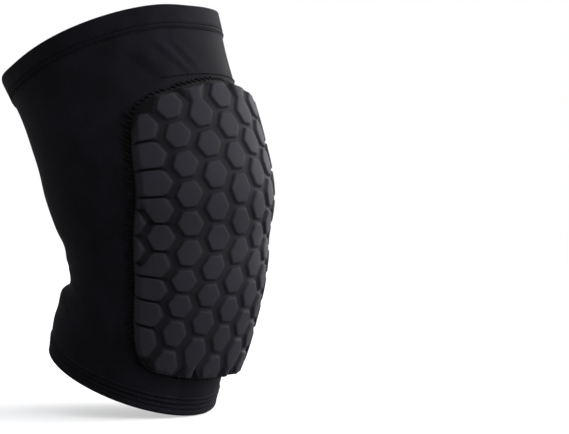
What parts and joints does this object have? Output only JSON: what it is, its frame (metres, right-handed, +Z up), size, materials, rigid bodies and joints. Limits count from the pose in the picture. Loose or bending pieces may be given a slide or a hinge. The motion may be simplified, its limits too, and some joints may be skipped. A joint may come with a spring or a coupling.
{
  "type": "knee compression sleeve",
  "caption": "Bent tubular knee sleeve of stretch knit with doubled hems and a sewn-on honeycomb foam pad over the kneecap, open at thigh and calf for the leg.",
  "frame": {"origin": "middle of the leg hollow behind the kneecap", "axes": "+Z up along the bent leg from calf to thigh, -Y towards the front of the knee, X across the knee"},
  "size_m": [0.1289, 0.1819, 0.2496],
  "materials": {
    "knit": "matt black stretch knit of nylon and elastane",
    "hem": "doubled black stretch knit with flat stitched seams",
    "pad": "charcoal knit bonded to moulded foam cells"
  },
  "bodies": {
    "root": {"sleeve_tube": "knit", "thigh_hem": "hem", "calf_hem": "hem", "knee_pad": "pad"}
  },
  "joints": []
}
